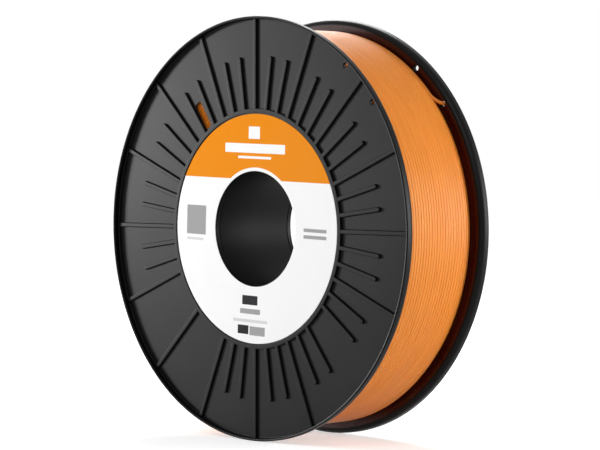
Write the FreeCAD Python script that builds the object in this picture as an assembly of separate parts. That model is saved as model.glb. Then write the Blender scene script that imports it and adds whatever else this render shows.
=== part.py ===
import FreeCAD, Part
import math
import os

from FreeCAD import Vector

# A spool of filament for a 3-D printer, in millimetres.
# The origin is the centre of the bore at half the spool's width. +Y runs along the bore, away from
# the labelled face, and +Z is up. Angles are measured about the bore from +X towards +Z.

# Spool as a whole
SPOOL_DIAMETER = 200.0
SPOOL_WIDTH = 55.0
BORE_DIAMETER = 54.0

# Flange: depths are measured from the rim's front edge towards the winding
FLANGE_DEPTH = 4.8
WEB_THICKNESS = 1.85
RIM_THICKNESS = 1.3
RIM_INNER_ROUND = 0.7
RIM_OUTER_ROUND = 0.55
RIM_BACK_ROUND = 2.6
RIM_FILLET = 0.4

# Hub of the flange, with the recess that takes the label
HUB_RING_INNER_DIAMETER = 109.4
HUB_RING_WIDTH = 1.9
LABEL_RECESS_DEPTH = 0.4

# Ribs of the flange: every third one is long and reaches the rim
RIB_COUNT = 48
RIB_LONG_EVERY = 3
RIB_HEIGHT = 1.05
RIB_ROOT_DEPTH = 0.3
RIB_BASE_WIDTH = 2.1
RIB_TOP_WIDTH = 1.6
RIB_TOP_ROUND = 0.25
SHORT_RIB_LENGTH = 24.9
PLAIN_BAY_CENTRE = 225.0
PLAIN_BAY_SPREAD = 45.0
PLAIN_LONG_RIB_ANGLE = 315.0

# Sight window and filament holes of the flange
WINDOW_ANGLE = 124.3
WINDOW_RING_GAP = 1.2
WINDOW_LENGTH = 14.3
WINDOW_WIDTH = 4.3
WINDOW_CORNER = 1.4
FILAMENT_HOLE_DIAMETER = 3.6
FILAMENT_HOLE_RIM_GAP = 1.4
FILAMENT_HOLE_SPACING = 23.8
HOLE_PAIR_ANGLE = 45.0

# Sleeve and drum between the flanges
SLEEVE_WALL = 2.0
DRUM_DIAMETER = 113.0
DRUM_WALL = 2.0
SPIGOT_LENGTH = 4.0
SPIGOT_WALL = 1.6
SPIGOT_CLEARANCE = 0.15

# Label
LABEL_THICKNESS = 0.15
LABEL_RECESS_GAP = 0.5
LABEL_BORE_GAP = 0.3

# Filament as it is wound: the turns travel clockwise as seen from the labelled face
FILAMENT_DIAMETER = 1.75
WINDING_RIM_GAP = 5.5
WINDING_SIDE_GAP = 0.2
LAYER_SEAT_GAP = 0.05
TURN_GAP = 0.57
FIRST_TURN_SIDE_GAP = 0.4
LAST_TURN_SIDE_GAP = 2.0
FIRST_TURN_ANGLE = 250.0
START_BEND_RADIUS = 4.0
POCKET_CLEARANCE = 0.4

# Loose end of the filament, hooked through the rear flange
TAIL_LEAD_ANGLE = 5.5
TAIL_SLOPE = 74.0
TAIL_BEYOND_WEB = 2.4

# Inner end of the filament, hooked through the drum
ANCHOR_ANGLE = 202.5
ANCHOR_HOLE_DIAMETER = 3.0
ANCHOR_SPIGOT_GAP = 1.5
INNER_END_BEND_RADIUS = 4.0
INNER_END_TAIL = 9.0

# Largest arc of the winding's centre line, and the step at which its gaps are measured
ARC_ANGLE = 180.0
MEASURE_STEP = 0.5
MEASURE_SECTOR = 3.0

# Derived sizes of the flanges, the sleeve and the drum
RIM_RADIUS = SPOOL_DIAMETER / 2
BORE_RADIUS = BORE_DIAMETER / 2
HALF_WIDTH = SPOOL_WIDTH / 2
INNER_FACE = HALF_WIDTH - FLANGE_DEPTH
WEB_FRONT_DEPTH = FLANGE_DEPTH - WEB_THICKNESS
RIB_TOP_DEPTH = WEB_FRONT_DEPTH - RIB_HEIGHT
RECESS_FLOOR_DEPTH = RIB_TOP_DEPTH + LABEL_RECESS_DEPTH
RING_INNER_RADIUS = HUB_RING_INNER_DIAMETER / 2
RING_OUTER_RADIUS = RING_INNER_RADIUS + HUB_RING_WIDTH
RIM_INNER_RADIUS = RIM_RADIUS - RIM_THICKNESS
RIB_PITCH = 360.0 / RIB_COUNT
WINDOW_INNER_RADIUS = RING_OUTER_RADIUS + WINDOW_RING_GAP
FILAMENT_HOLE_RADIUS = RIM_INNER_RADIUS - FILAMENT_HOLE_RIM_GAP - FILAMENT_HOLE_DIAMETER / 2
HOLE_HALF_SPREAD = math.degrees(math.asin(FILAMENT_HOLE_SPACING / 2 / FILAMENT_HOLE_RADIUS))
LOWER_HOLE_ANGLE = HOLE_PAIR_ANGLE - HOLE_HALF_SPREAD
UPPER_HOLE_ANGLE = HOLE_PAIR_ANGLE + HOLE_HALF_SPREAD
SLEEVE_OUTER_RADIUS = BORE_RADIUS + SLEEVE_WALL
DRUM_RADIUS = DRUM_DIAMETER / 2
DRUM_INNER_RADIUS = DRUM_RADIUS - DRUM_WALL

# Derived sizes of the filament
FILAMENT_RADIUS = FILAMENT_DIAMETER / 2
TURN_PITCH = FILAMENT_DIAMETER + TURN_GAP
TURN_RADIUS = RIM_RADIUS - WINDING_RIM_GAP - FILAMENT_RADIUS
BULK_RADIUS = TURN_RADIUS - FILAMENT_RADIUS - LAYER_SEAT_GAP
FIRST_TURN_Y = -INNER_FACE + FIRST_TURN_SIDE_GAP + FILAMENT_RADIUS
LAST_TURN_Y = INNER_FACE - LAST_TURN_SIDE_GAP - FILAMENT_RADIUS
PART_TURN = (FIRST_TURN_ANGLE - LOWER_HOLE_ANGLE - TAIL_LEAD_ANGLE) % 360.0
FULL_TURNS = math.floor((LAST_TURN_Y - FIRST_TURN_Y) / TURN_PITCH - PART_TURN / 360.0)
LAYER_TRAVEL = 360.0 * FULL_TURNS + PART_TURN
ANCHOR_Y = -INNER_FACE + SPIGOT_LENGTH + ANCHOR_SPIGOT_GAP + ANCHOR_HOLE_DIAMETER / 2

Y_AXIS = Vector(0, 1, 0)
ORIGIN = Vector(0, 0, 0)


def radial(angle):
    """Unit vector out from the bore at an angle."""
    return Vector(math.cos(math.radians(angle)), 0, math.sin(math.radians(angle)))


def clockwise(angle):
    """Unit vector along the winding's direction of travel at an angle."""
    return Vector(math.sin(math.radians(angle)), 0, -math.cos(math.radians(angle)))


def cylinder(radius, y_low, y_high):
    """Solid cylinder about the bore's axis."""
    return Part.makeCylinder(radius, y_high - y_low, Vector(0, y_low, 0), Y_AXIS)


def tube(outer, inner, y_low, y_high):
    """Straight tube about the bore's axis."""
    return cylinder(outer, y_low, y_high).cut(cylinder(inner, y_low, y_high))


def revolved(edges):
    """Solid of revolution about the bore's axis from edges in the radius and depth plane."""
    return Part.Face(Part.Wire(Part.__sortEdges__(edges))).revolve(ORIGIN, Y_AXIS, 360)


def front_point(radius, depth):
    """Point of the front flange's section, depth below the rim's front edge."""
    return Vector(radius, -HALF_WIDTH + depth, 0)


def line(start, end):
    """Straight edge between two points."""
    return Part.makeLine(start, end)


def corner_arc(start, centre, end):
    """Quarter round about a centre, from one point to another."""
    middle = centre + ((start - centre) + (end - centre)).normalize() * (start - centre).Length
    return Part.Arc(start, middle, end).toShape()


def disc_section():
    """Edges of the flange disc: hub, web and rounded rim."""
    inner_round = front_point(RIM_INNER_RADIUS + RIM_INNER_ROUND, RIM_INNER_ROUND)
    outer_round = front_point(RIM_RADIUS - RIM_OUTER_ROUND, RIM_OUTER_ROUND)
    back_round = front_point(RIM_RADIUS - RIM_BACK_ROUND, FLANGE_DEPTH - RIM_BACK_ROUND)
    foot_round = front_point(RIM_INNER_RADIUS - RIM_FILLET, WEB_FRONT_DEPTH - RIM_FILLET)
    points = [
        front_point(BORE_RADIUS, FLANGE_DEPTH),
        front_point(BORE_RADIUS, RECESS_FLOOR_DEPTH),
        front_point(RING_INNER_RADIUS, RECESS_FLOOR_DEPTH),
        front_point(RING_INNER_RADIUS, RIB_TOP_DEPTH),
        front_point(RING_OUTER_RADIUS, RIB_TOP_DEPTH),
        front_point(RING_OUTER_RADIUS, WEB_FRONT_DEPTH),
        front_point(RIM_INNER_RADIUS - RIM_FILLET, WEB_FRONT_DEPTH),
    ]
    edges = [line(points[i], points[i + 1]) for i in range(len(points) - 1)]
    foot_end = front_point(RIM_INNER_RADIUS, WEB_FRONT_DEPTH - RIM_FILLET)
    edges.append(corner_arc(points[-1], foot_round, foot_end))
    inner_start = front_point(RIM_INNER_RADIUS, RIM_INNER_ROUND)
    inner_end = front_point(RIM_INNER_RADIUS + RIM_INNER_ROUND, 0)
    edges.append(line(foot_end, inner_start))
    edges.append(corner_arc(inner_start, inner_round, inner_end))
    outer_start = front_point(RIM_RADIUS - RIM_OUTER_ROUND, 0)
    outer_end = front_point(RIM_RADIUS, RIM_OUTER_ROUND)
    edges.append(line(inner_end, outer_start))
    edges.append(corner_arc(outer_start, outer_round, outer_end))
    back_start = front_point(RIM_RADIUS, FLANGE_DEPTH - RIM_BACK_ROUND)
    back_end = front_point(RIM_RADIUS - RIM_BACK_ROUND, FLANGE_DEPTH)
    edges.append(line(outer_end, back_start))
    edges.append(corner_arc(back_start, back_round, back_end))
    edges.append(line(back_end, points[0]))
    return edges


def rib(end_radius, rounded_end):
    """One rib along +X, with drafted sides, rounded top corners and, if asked, a round outer end."""
    start_radius = RING_OUTER_RADIUS - HUB_RING_WIDTH / 2
    foot = -HALF_WIDTH + WEB_FRONT_DEPTH + RIB_ROOT_DEPTH
    shoulder = -HALF_WIDTH + RIB_TOP_DEPTH + RIB_TOP_ROUND
    top = -HALF_WIDTH + RIB_TOP_DEPTH
    half_base = RIB_BASE_WIDTH / 2
    half_top = RIB_TOP_WIDTH / 2
    round_middle = RIB_TOP_ROUND * (1 - math.sqrt(0.5))
    straight_end = end_radius - half_base if rounded_end else end_radius

    def half(side):
        """Edges of half the rib's section, from its foot to the middle of its top."""
        web_foot = Vector(start_radius, foot, side * half_base)
        low = Vector(start_radius, shoulder, side * half_top)
        arc_middle = Vector(start_radius, top + round_middle, side * (half_top - round_middle))
        high = Vector(start_radius, top, side * (half_top - RIB_TOP_ROUND))
        centre = Vector(start_radius, top, 0)
        return [line(web_foot, low), Part.Arc(low, arc_middle, high).toShape(), line(high, centre)]

    base = line(Vector(start_radius, foot, -half_base), Vector(start_radius, foot, half_base))
    section = Part.Face(Part.Wire(Part.__sortEdges__(half(1) + half(-1) + [base])))
    body = section.extrude(Vector(straight_end - start_radius, 0, 0))
    if not rounded_end:
        return body
    middle_line = line(Vector(start_radius, top, 0), Vector(start_radius, foot, 0))
    half_base_line = line(Vector(start_radius, foot, 0), Vector(start_radius, foot, half_base))
    half_face = Part.Face(Part.Wire(Part.__sortEdges__(half(1) + [middle_line, half_base_line])))
    half_face.translate(Vector(straight_end - start_radius, 0, 0))
    end = half_face.revolve(Vector(straight_end, 0, 0), Y_AXIS, 180)
    return body.fuse(end)


def is_plain(angle, is_long):
    """True where the flange leaves a rib out: one long rib, and the short ones of one bay."""
    if is_long:
        return abs(angle - PLAIN_LONG_RIB_ANGLE) < RIB_PITCH / 2
    return abs(angle - PLAIN_BAY_CENTRE) < PLAIN_BAY_SPREAD / 2


def rib_ring():
    """All the ribs of one flange, each turned to its place."""
    long_rib = rib(RIM_INNER_RADIUS + RIM_THICKNESS / 2, False)
    short_rib = rib(RING_OUTER_RADIUS + SHORT_RIB_LENGTH, True)
    ribs = []
    for index in range(RIB_COUNT):
        angle = index * RIB_PITCH
        is_long = index % RIB_LONG_EVERY == 0
        if is_plain(angle, is_long):
            continue
        copy = (long_rib if is_long else short_rib).copy()
        copy.rotate(ORIGIN, Y_AXIS, -angle)
        ribs.append(copy)
    return ribs


def window_cutter():
    """Slot with rounded corners through the web, where the filament left on the drum shows."""
    slot = Part.makeBox(
        WINDOW_LENGTH,
        FLANGE_DEPTH + WEB_THICKNESS,
        WINDOW_WIDTH,
        Vector(WINDOW_INNER_RADIUS, -HALF_WIDTH, -WINDOW_WIDTH / 2),
    )
    corners = [e for e in slot.Edges if abs((e.Vertexes[1].Point - e.Vertexes[0].Point).y) > 0]
    slot = slot.makeFillet(WINDOW_CORNER, corners)
    slot.rotate(ORIGIN, Y_AXIS, -WINDOW_ANGLE)
    return slot


def hole_cutters():
    """Round holes near the rim that hold the filament's loose end."""
    cutters = []
    for angle in (LOWER_HOLE_ANGLE, UPPER_HOLE_ANGLE):
        base = radial(angle) * FILAMENT_HOLE_RADIUS + Vector(0, -HALF_WIDTH, 0)
        length = FLANGE_DEPTH + WEB_THICKNESS
        cutters.append(Part.makeCylinder(FILAMENT_HOLE_DIAMETER / 2, length, base, Y_AXIS))
    return cutters


def front_flange():
    """Disc with ribs in front and two spigots behind that locate it on the sleeve and the drum."""
    disc = revolved(disc_section())
    disc = disc.multiFuse(rib_ring())
    drum_spigot = DRUM_INNER_RADIUS - SPIGOT_CLEARANCE
    sleeve_spigot = SLEEVE_OUTER_RADIUS + SPIGOT_CLEARANCE
    root = -INNER_FACE - WEB_THICKNESS / 2
    tip = -INNER_FACE + SPIGOT_LENGTH
    disc = disc.fuse(tube(drum_spigot, drum_spigot - SPIGOT_WALL, root, tip))
    disc = disc.fuse(tube(sleeve_spigot + SPIGOT_WALL, sleeve_spigot, root, tip))
    disc = disc.cut(Part.makeCompound(hole_cutters() + [window_cutter()]))
    return disc.removeSplitter()


def rear_flange(front):
    """The same moulding turned over about the line through the middle of its filament holes."""
    turned = front.copy()
    turned.rotate(ORIGIN, radial(HOLE_PAIR_ANGLE), 180)
    return turned


def bore_sleeve():
    """Tube that carries the bore from one flange to the other."""
    return tube(SLEEVE_OUTER_RADIUS, BORE_RADIUS, -INNER_FACE, INNER_FACE)


def winding_drum():
    """Tube that the filament is wound on, with the hole that holds its inner end."""
    drum = tube(DRUM_RADIUS, DRUM_INNER_RADIUS, -INNER_FACE, INNER_FACE)
    out = radial(ANCHOR_ANGLE)
    hole_base = out * (DRUM_INNER_RADIUS - DRUM_WALL) + Vector(0, ANCHOR_Y, 0)
    return drum.cut(Part.makeCylinder(ANCHOR_HOLE_DIAMETER / 2, 3 * DRUM_WALL, hole_base, out))


def front_label():
    """Round sticker with a hole for the bore, on the floor of the recess."""
    floor = -HALF_WIDTH + RECESS_FLOOR_DEPTH
    outer = RING_INNER_RADIUS - LABEL_RECESS_GAP
    inner = BORE_RADIUS + LABEL_BORE_GAP
    return tube(outer, inner, floor - LABEL_THICKNESS, floor)


def arc_from(start, tangent, end):
    """Circular arc that leaves a point along a tangent and ends at another point."""
    chord = end - start
    sideways = chord - tangent * chord.dot(tangent)
    normal = sideways.normalize()
    radius = chord.Length ** 2 / (2 * normal.dot(chord))
    centre = start + normal * radius
    middle = centre + ((start - centre) + (end - centre)).normalize() * radius
    return Part.Arc(start, middle, end)


def biarc(start, start_tangent, end, end_tangent):
    """Two arcs that join two points and meet smoothly, with equal control lengths."""
    chord = end - start
    total = start_tangent + end_tangent
    a = 2 * (1 - start_tangent.dot(end_tangent))
    b = chord.dot(total)
    reach = (-b + math.sqrt(b * b + a * chord.dot(chord))) / a
    joint = (start + start_tangent * reach + end - end_tangent * reach) * 0.5
    return [arc_from(start, start_tangent, joint), arc_from(end, end_tangent * -1, joint)]


def turn_point(travel):
    """Point of the outer layer's centre line after an angle of travel."""
    out = radial(FIRST_TURN_ANGLE - travel)
    return out * TURN_RADIUS + Vector(0, FIRST_TURN_Y + TURN_PITCH * travel / 360.0, 0)


def turn_tangent(travel):
    """Direction of the outer layer's centre line after an angle of travel."""
    along = clockwise(FIRST_TURN_ANGLE - travel) * (2 * math.pi * TURN_RADIUS)
    return (along + Vector(0, TURN_PITCH, 0)).normalize()


def start_route():
    """Route up out of the pocket in the inner turns and over onto the first turn."""
    tangent = turn_tangent(0)
    end = turn_point(0)
    out = radial(FIRST_TURN_ANGLE)
    bend_start = end - tangent * START_BEND_RADIUS - out * START_BEND_RADIUS
    foot = bend_start - out * FILAMENT_DIAMETER
    return foot, [Part.LineSegment(foot, bend_start), arc_from(end, tangent * -1, bend_start)]


def tail_route():
    """Route of the loose end, from the last turn through the rear flange's lower hole."""
    web_middle = INNER_FACE + WEB_THICKNESS / 2
    hole_centre = radial(LOWER_HOLE_ANGLE) * FILAMENT_HOLE_RADIUS + Vector(0, web_middle, 0)
    slope = math.radians(TAIL_SLOPE)
    direction = clockwise(LOWER_HOLE_ANGLE) * math.cos(slope) + Y_AXIS * math.sin(slope)
    leaving = turn_point(LAYER_TRAVEL)
    curves = biarc(leaving, turn_tangent(LAYER_TRAVEL), hole_centre, direction)
    end = hole_centre + direction * (TAIL_BEYOND_WEB + WEB_THICKNESS / 2)
    return curves + [Part.LineSegment(hole_centre, end)]


def outer_route():
    """Centre line of the outer layer, as straight ends and arcs."""
    foot, curves = start_route()
    steps = math.ceil(LAYER_TRAVEL / ARC_ANGLE)
    for index in range(steps):
        low = LAYER_TRAVEL * index / steps
        high = LAYER_TRAVEL * (index + 1) / steps
        curves += biarc(turn_point(low), turn_tangent(low), turn_point(high), turn_tangent(high))
    return foot, curves + tail_route()


def swept(start, direction, curves):
    """Round tube of the filament's diameter along a chain of curves."""
    path = Part.Wire(Part.__sortEdges__([curve.toShape() for curve in curves]))
    ring = Part.Wire([Part.Circle(start, direction, FILAMENT_RADIUS).toShape()])
    return path.makePipeShell([ring], True, False), path


def start_pocket():
    """Pocket in the inner turns, from whose floor the outer layer rises."""
    out = radial(FIRST_TURN_ANGLE)
    along = clockwise(FIRST_TURN_ANGLE)
    foot, _ = start_route()
    side = FILAMENT_RADIUS + POCKET_CLEARANCE
    far = START_BEND_RADIUS + side
    corners = [
        foot - along * side - Y_AXIS * side,
        foot + along * far - Y_AXIS * side,
        foot + along * far + Y_AXIS * side,
        foot - along * side + Y_AXIS * side,
    ]
    floor = Part.Face(Part.makePolygon(corners + corners[:1]))
    return floor.extrude(out * (START_BEND_RADIUS + FILAMENT_DIAMETER))


def wound_filament():
    """The inner turns as one plain mass, with the pocket that the outer layer rises from."""
    half = INNER_FACE - WINDING_SIDE_GAP
    return tube(BULK_RADIUS, DRUM_RADIUS, -half, half).cut(start_pocket())


def inner_end():
    """Start of the filament, through the drum's anchor hole and bent along inside it."""
    out = radial(ANCHOR_ANGLE)
    height = Vector(0, ANCHOR_Y, 0)
    start = out * DRUM_RADIUS + height
    bend_start = out * (DRUM_INNER_RADIUS - FILAMENT_RADIUS) + height
    bend_end = bend_start - out * INNER_END_BEND_RADIUS + Y_AXIS * INNER_END_BEND_RADIUS
    curves = [
        Part.LineSegment(start, bend_start),
        arc_from(bend_start, out * -1, bend_end),
        Part.LineSegment(bend_end, bend_end + Y_AXIS * INNER_END_TAIL),
    ]
    return swept(start, out * -1, curves)[0]


def least_gap(path):
    """Least gap of the outer layer's tube to itself, on points of its centre line, sector by sector."""
    points = path.discretize(Number=round(path.Length / MEASURE_STEP))
    near = 2 * START_BEND_RADIUS / MEASURE_STEP
    sectors = {}
    for index, point in enumerate(points):
        sector = round(math.degrees(math.atan2(point.z, point.x)) / MEASURE_SECTOR)
        sectors.setdefault(sector, []).append((index, point))
    least = SPOOL_DIAMETER
    for members in sectors.values():
        for position, (i, here) in enumerate(members):
            for j, there in members[position + 1:]:
                if j - i > near:
                    least = min(least, (here - there).Length)
    return least - FILAMENT_DIAMETER


def main():
    """Build every piece, write it and print what was measured."""
    os.makedirs("parts", exist_ok=True)
    front = front_flange()
    foot, curves = outer_route()
    turns, path = swept(foot, radial(FIRST_TURN_ANGLE), curves)
    pieces = {
        "front_flange": front,
        "rear_flange": rear_flange(front),
        "bore_sleeve": bore_sleeve(),
        "winding_drum": winding_drum(),
        "front_label": front_label(),
        "wound_filament": wound_filament(),
        "outer_turns": turns,
        "inner_end": inner_end(),
    }
    for name, shape in pieces.items():
        shape.exportStep("parts/" + name + ".step")
        volume = round(shape.Volume, 1)
        print(name, "solids", len(shape.Solids), "valid", shape.isValid(), "volume", volume)
    section = math.pi * FILAMENT_RADIUS ** 2
    radii = [edge.Curve.Radius for edge in path.Edges if hasattr(edge.Curve, "Radius")]
    print("outer layer turns", round(LAYER_TRAVEL / 360.0, 2), "length", round(path.Length, 1), "mm")
    ratio = turns.Volume / (section * path.Length)
    print("outer layer volume over section times length", round(ratio, 5))
    print("outer layer tightest bend radius", round(min(radii), 2), "mm")
    print("outer layer least gap to itself", round(least_gap(path), 3), "mm")


main()
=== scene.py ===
import logging
import math
from dataclasses import dataclass, replace
from enum import Enum
from functools import cache
from typing import Iterable, Sequence

import bmesh
import bpy
from bmesh.types import BMEdge, BMesh, BMFace, BMVert
from bpy.types import Material, Node, NodeSocket, NodeTree, Object
from mathutils import Matrix, Vector


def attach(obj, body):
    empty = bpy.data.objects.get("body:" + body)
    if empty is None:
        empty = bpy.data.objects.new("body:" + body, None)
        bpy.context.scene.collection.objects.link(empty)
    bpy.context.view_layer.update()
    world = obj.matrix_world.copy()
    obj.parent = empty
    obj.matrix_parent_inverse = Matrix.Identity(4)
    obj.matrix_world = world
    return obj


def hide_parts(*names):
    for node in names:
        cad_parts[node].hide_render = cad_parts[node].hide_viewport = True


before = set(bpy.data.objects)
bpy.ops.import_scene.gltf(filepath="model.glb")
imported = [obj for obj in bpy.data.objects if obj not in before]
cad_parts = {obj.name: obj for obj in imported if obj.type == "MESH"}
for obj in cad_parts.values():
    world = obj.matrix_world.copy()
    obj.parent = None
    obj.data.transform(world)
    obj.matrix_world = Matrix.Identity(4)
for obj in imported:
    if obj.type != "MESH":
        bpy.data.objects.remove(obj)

log = logging.getLogger("spool")

MM = 0.001
Y_AXIS = Vector((0.0, 1.0, 0.0))
MERGE_DISTANCE = 1e-7
CORNER_TOLERANCE = 2e-6
AXIS_RADIUS = 1e-6
FACE_TOLERANCE = 0.02 * MM
ROUND_STEPS = 192
SHARP_ANGLE = 40.0
STRAND_SHARP_ANGLE = 60.0

Colour = tuple[float, float, float, float]
Values = tuple[tuple[str, object], ...]


class Finish(Enum):
    """Finishes of the pieces, each with the record's material slot that it belongs to."""

    PLASTIC = ("moulded", "spool_plastic")
    TUBE = ("tube", "spool_plastic")
    # Faces toward the filament: glossier plastic with a painted dark red reflection of the filament.
    INSIDE_PAINTED_REFLECTION = ("inside", "spool_plastic")
    LABEL = ("printed", "label_film")
    FILAMENT = ("extruded", "filament")

    @property
    def slot(self) -> str:
        """The record's material slot."""
        return self.value[1]


def radial(angle: float) -> Vector:
    """Unit vector out from the bore at an angle in degrees, from +X towards +Z."""
    turn = math.radians(angle)
    return Vector((math.cos(turn), 0.0, math.sin(turn)))


def clockwise(angle: float) -> Vector:
    """Unit vector in which the filament travels at an angle in degrees, from +X towards +Z."""
    turn = math.radians(angle)
    return Vector((math.sin(turn), 0.0, -math.cos(turn)))


def turned(angle: float) -> Matrix:
    """Rotation about the bore that turns +X to an angle in degrees, towards +Z."""
    return Matrix.Rotation(-math.radians(angle), 4, "Y")


def outward(azimuth: float, elevation: float) -> Vector:
    """Unit vector from the spool to where a lamp or the camera stands.

    Args:
        azimuth: degrees from the front, positive towards +X.
        elevation: degrees above the horizon.

    Returns:
        The unit vector.
    """
    turn, rise = math.radians(azimuth), math.radians(elevation)
    return Vector((math.sin(turn) * math.cos(rise), -math.cos(turn) * math.cos(rise), math.sin(rise)))


def aimed(name: str, data: bpy.types.ID, place: Vector, out: Vector) -> Object:
    """Adds a lamp or camera that looks at the spool.

    Args:
        name: the object's name.
        data: the lamp or camera.
        place: where it stands.
        out: unit vector from the spool to it.

    Returns:
        The object, linked to the scene.
    """
    obj = bpy.data.objects.new(name, data)
    obj.location = place
    obj.rotation_mode = "QUATERNION"
    obj.rotation_quaternion = (-out).to_track_quat("-Z", "Y")
    bpy.context.scene.collection.objects.link(obj)
    return obj


@dataclass(frozen=True)
class FlangeSizes:
    """Sizes of one flange, in metres; depths run from the rim's outer edge inwards."""

    rim_radius: float = 100.0 * MM
    half_width: float = 27.5 * MM
    depth: float = 4.8 * MM
    web_front: float = 2.95 * MM
    rim_inner: float = 98.7 * MM
    rim_fillet: float = 0.4 * MM
    rim_inner_round: float = 0.7 * MM
    rim_outer_round: float = 0.55 * MM
    rim_back_round: float = 2.6 * MM
    bore: float = 27.0 * MM
    bore_round: float = 0.3 * MM
    recess_floor: float = 2.3 * MM
    ring_inner: float = 54.7 * MM
    ring_outer: float = 56.6 * MM
    ring_top: float = 1.9 * MM
    ring_round: float = 0.12 * MM
    ring_foot: float = 0.15 * MM
    steps: int = 288

    @property
    def inner_face(self) -> float:
        """Distance from mid-width to the flange's inner face."""
        return self.half_width - self.depth


@dataclass(frozen=True)
class RibSizes:
    """Sizes of a flange's ribs, in metres and degrees."""

    base: float = 1.96 * MM
    top: float = 1.6 * MM
    skirt: float = 0.18 * MM
    sunk: float = 0.02 * MM
    in_ring: float = 0.6 * MM
    in_rim: float = 0.65 * MM
    short_end: float = 81.5 * MM
    end_share: float = 0.98
    end_segments: int = 9
    top_round: float = 0.25 * MM
    foot_round: float = 0.15 * MM
    round_segments: int = 3
    pitch: float = 7.5
    long_every: int = 3
    plain_bay: float = 225.0
    plain_bay_spread: float = 22.5
    lacking_long: float = 315.0


@dataclass(frozen=True)
class OpeningSizes:
    """Sizes of a flange's sight window and filament holes, in metres and degrees."""

    hole_place: float = 95.5 * MM
    hole_radius: float = 1.22 * MM
    hole_lead: float = 0.3 * MM
    hole_relief: float = 0.5 * MM
    hole_steps: int = 40
    hole_angles: tuple[float, float] = (37.84, 52.16)
    window_inner: float = 57.8 * MM
    window_length: float = 14.3 * MM
    window_width: float = 4.3 * MM
    window_corner: float = 1.4 * MM
    corner_segments: int = 6
    window_angle: float = 124.3
    window_edge: float = 0.1 * MM
    window_relief: float = 1.1 * MM
    overrun: float = 0.5 * MM


@dataclass(frozen=True)
class CoreSizes:
    """Sizes of the bore sleeve and the winding drum, in metres."""

    sleeve_outer: float = 29.0 * MM
    sleeve_round: float = 0.35 * MM
    drum_inner: float = 54.5 * MM
    drum_outer: float = 56.5 * MM
    drum_round: float = 0.3 * MM
    round_segments: int = 3
    seam: float = 0.15 * MM


@dataclass(frozen=True)
class WindingSizes:
    """Sizes of the winding, in metres and degrees."""

    wire: float = 0.875 * MM
    wire_sides: int = 8
    outer_radius: float = 93.6 * MM
    layer_step: float = 1.53 * MM
    pitch: float = 1.78 * MM
    first_y: float = -21.75 * MM
    last_y: float = 20.38 * MM
    leaving_angle: float = 42.6
    steps_per_turn: int = 144
    climb_steps: int = 40
    waver: float = 0.012 * MM
    waver_rates: tuple[float, float] = (0.83, 1.37)
    bed: float = 0.74 * MM
    bed_sides: int = 6
    side_y: float = 21.76 * MM
    side_wire: float = 0.825 * MM
    side_wire_sides: int = 12
    side_steps: int = 120
    side_waver: float = 0.06 * MM
    side_waver_rate: float = 2.4
    ring_step: float = 1.56 * MM
    under_layer: float = 0.4 * MM
    drum_gap: float = 0.02 * MM

    @property
    def turns(self) -> float:
        """Number of turns in the outer layer."""
        return (self.last_y - self.first_y) / self.pitch


@dataclass(frozen=True)
class EndSizes:
    """Sizes of the filament's two ends, in metres and degrees."""

    tail_slope: float = 74.0
    tail_leaving: float = 5.0 * MM
    tail_entering: float = 2.2 * MM
    tail_steps: int = 24
    tail_beyond: tuple[float, float, float] = (1.0 * MM, 2.0 * MM, 3.0 * MM)
    anchor_angle: float = 202.5
    anchor_height: float = 7.0 * MM
    bend_radius: float = 4.0 * MM
    bend_steps: int = 12
    inner_length: float = 9.0 * MM


def clean(bm: BMesh, distance: float = MERGE_DISTANCE) -> None:
    """Merges vertices that are closer than a distance, and turns every face outwards."""
    bmesh.ops.remove_doubles(bm, verts=bm.verts, dist=distance)
    bmesh.ops.recalc_face_normals(bm, faces=bm.faces)


def lathe(points: Sequence[tuple[float, float]], steps: int) -> BMesh:
    """Spins a closed section about the bore.

    Args:
        points: the section's corners as (radius, y).
        steps: number of steps in the full turn.

    Returns:
        A bmesh with the spun surface.
    """
    bm = bmesh.new()
    verts = [bm.verts.new((radius, y, 0.0)) for radius, y in points]
    edges = [bm.edges.new(pair) for pair in zip(verts, verts[1:] + verts[:1])]
    spin(bm, verts + edges, steps)
    return bm


def spin(bm: BMesh, section: Sequence[object], steps: int) -> None:
    """Spins a section a full turn about the bore and closes the surface.

    Args:
        bm: the mesh that holds the section.
        section: its vertices and edges.
        steps: number of steps in the full turn.
    """
    bmesh.ops.spin(
        bm, geom=section, cent=(0, 0, 0), axis=Y_AXIS, dvec=(0, 0, 0),
        angle=math.tau, steps=steps, use_merge=True, use_duplicate=False,
    )
    clean(bm)


def bevel(
    bm: BMesh, edges: Iterable[BMEdge], size: float, segments: int, clamp: bool = True,
) -> None:
    """Rounds edges.

    Args:
        bm: the mesh.
        edges: the edges to round.
        size: width of the rounding.
        segments: number of faces across it.
        clamp: whether a rounding stops where it meets the next.
    """
    bmesh.ops.bevel(
        bm, geom=list(edges), offset=size, segments=segments, profile=0.5,
        affect="EDGES", clamp_overlap=clamp, material=-1,
    )


def round_rings(bm: BMesh, rings: Iterable[tuple[float, float, float, int]]) -> None:
    """Rounds rings of a spun surface.

    Args:
        bm: the spun surface.
        rings: radius, y, rounding and segments of each ring.
    """
    for radius, y, rounding, segments in rings:
        picked = [
            edge for edge in bm.edges
            if all(
                abs(math.hypot(v.co.x, v.co.z) - radius) < CORNER_TOLERANCE
                and abs(v.co.y - y) < CORNER_TOLERANCE
                for v in edge.verts
            )
        ]
        bevel(bm, picked, rounding, segments, clamp=False)


def joined(parts: Sequence[BMesh]) -> BMesh:
    """Puts several meshes into one, and frees them.

    Args:
        parts: the meshes.

    Returns:
        The mesh that holds them all.
    """
    whole = bmesh.new()
    for part in parts:
        store = bpy.data.meshes.new("store")
        part.to_mesh(store)
        part.free()
        whole.from_mesh(store)
        bpy.data.meshes.remove(store)
    return whole


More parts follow.
